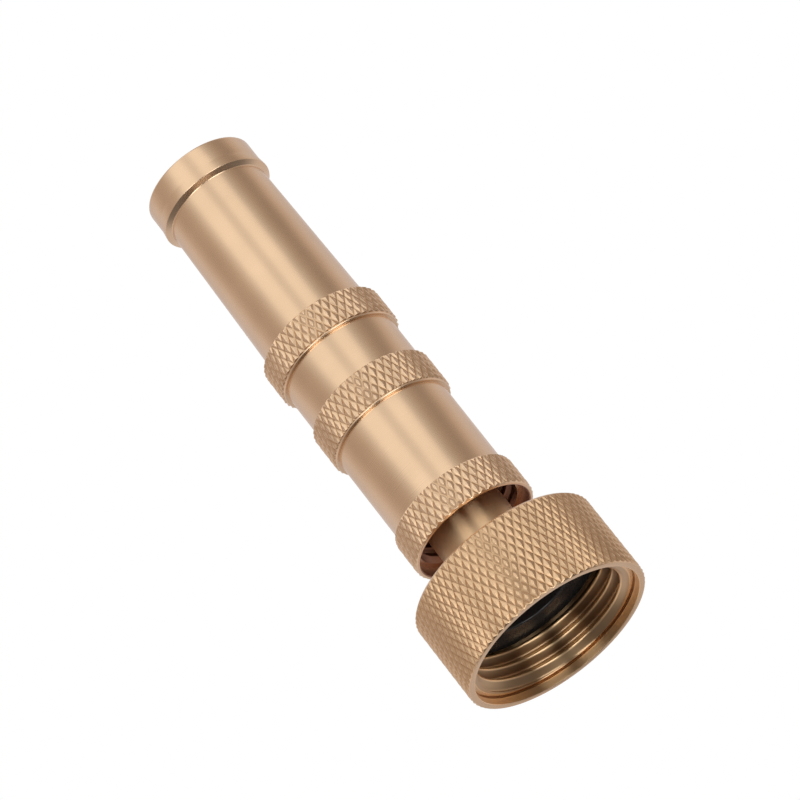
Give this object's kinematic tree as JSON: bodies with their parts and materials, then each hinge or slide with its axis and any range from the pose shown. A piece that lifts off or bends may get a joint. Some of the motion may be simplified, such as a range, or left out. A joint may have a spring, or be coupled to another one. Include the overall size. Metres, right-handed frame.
{
  "type": "hose spray nozzle",
  "caption": "Brass twist hose nozzle: knurled barrel screws along a stem to set the spray, swivel hose coupling with rubber washer.",
  "frame": {"origin": "centre of the hose coupling's mouth, on the nozzle's axis; the nozzle stands on that mouth", "axes": "+Z along the axis from the coupling to the spray tip; X and Y are free, because the nozzle is round"},
  "size_m": [0.0308, 0.0308, 0.0951],
  "materials": {
    "brass": "satin, lathe-turned, unlacquered, with diamond knurling on the grip bands",
    "rubber": "smooth black moulded rubber"
  },
  "bodies": {
    "coupling": {"coupling_nut": "brass", "hose_washer": "rubber"},
    "stem": {"stem": "brass", "valve_tip": "brass", "tip_seal_ring": "rubber"},
    "seal_rings": {"front_o_ring": "rubber", "rear_o_ring": "rubber"},
    "barrel": {"barrel": "brass"}
  },
  "joints": [
    {"name": "coupling_swivel", "type": "hinge", "parent": "coupling", "child": "stem", "pos_m": [0, 0, 0.0123], "axis": [0, 0, 1], "continuous": true},
    {"name": "barrel_turn", "type": "hinge", "parent": "stem", "child": "seal_rings", "pos_m": [0, 0, 0.0463], "axis": [0, 0, 1], "range_deg": [-1081, 361]},
    {"name": "barrel_travel", "type": "slide", "parent": "seal_rings", "child": "barrel", "axis": [0, 0, 1], "range_m": [-0.00525, 0.00175]}
  ],
  "couplings": [
    {"joint": "barrel_turn", "follows": "barrel_travel", "rad_per_m": 3590.4}
  ]
}
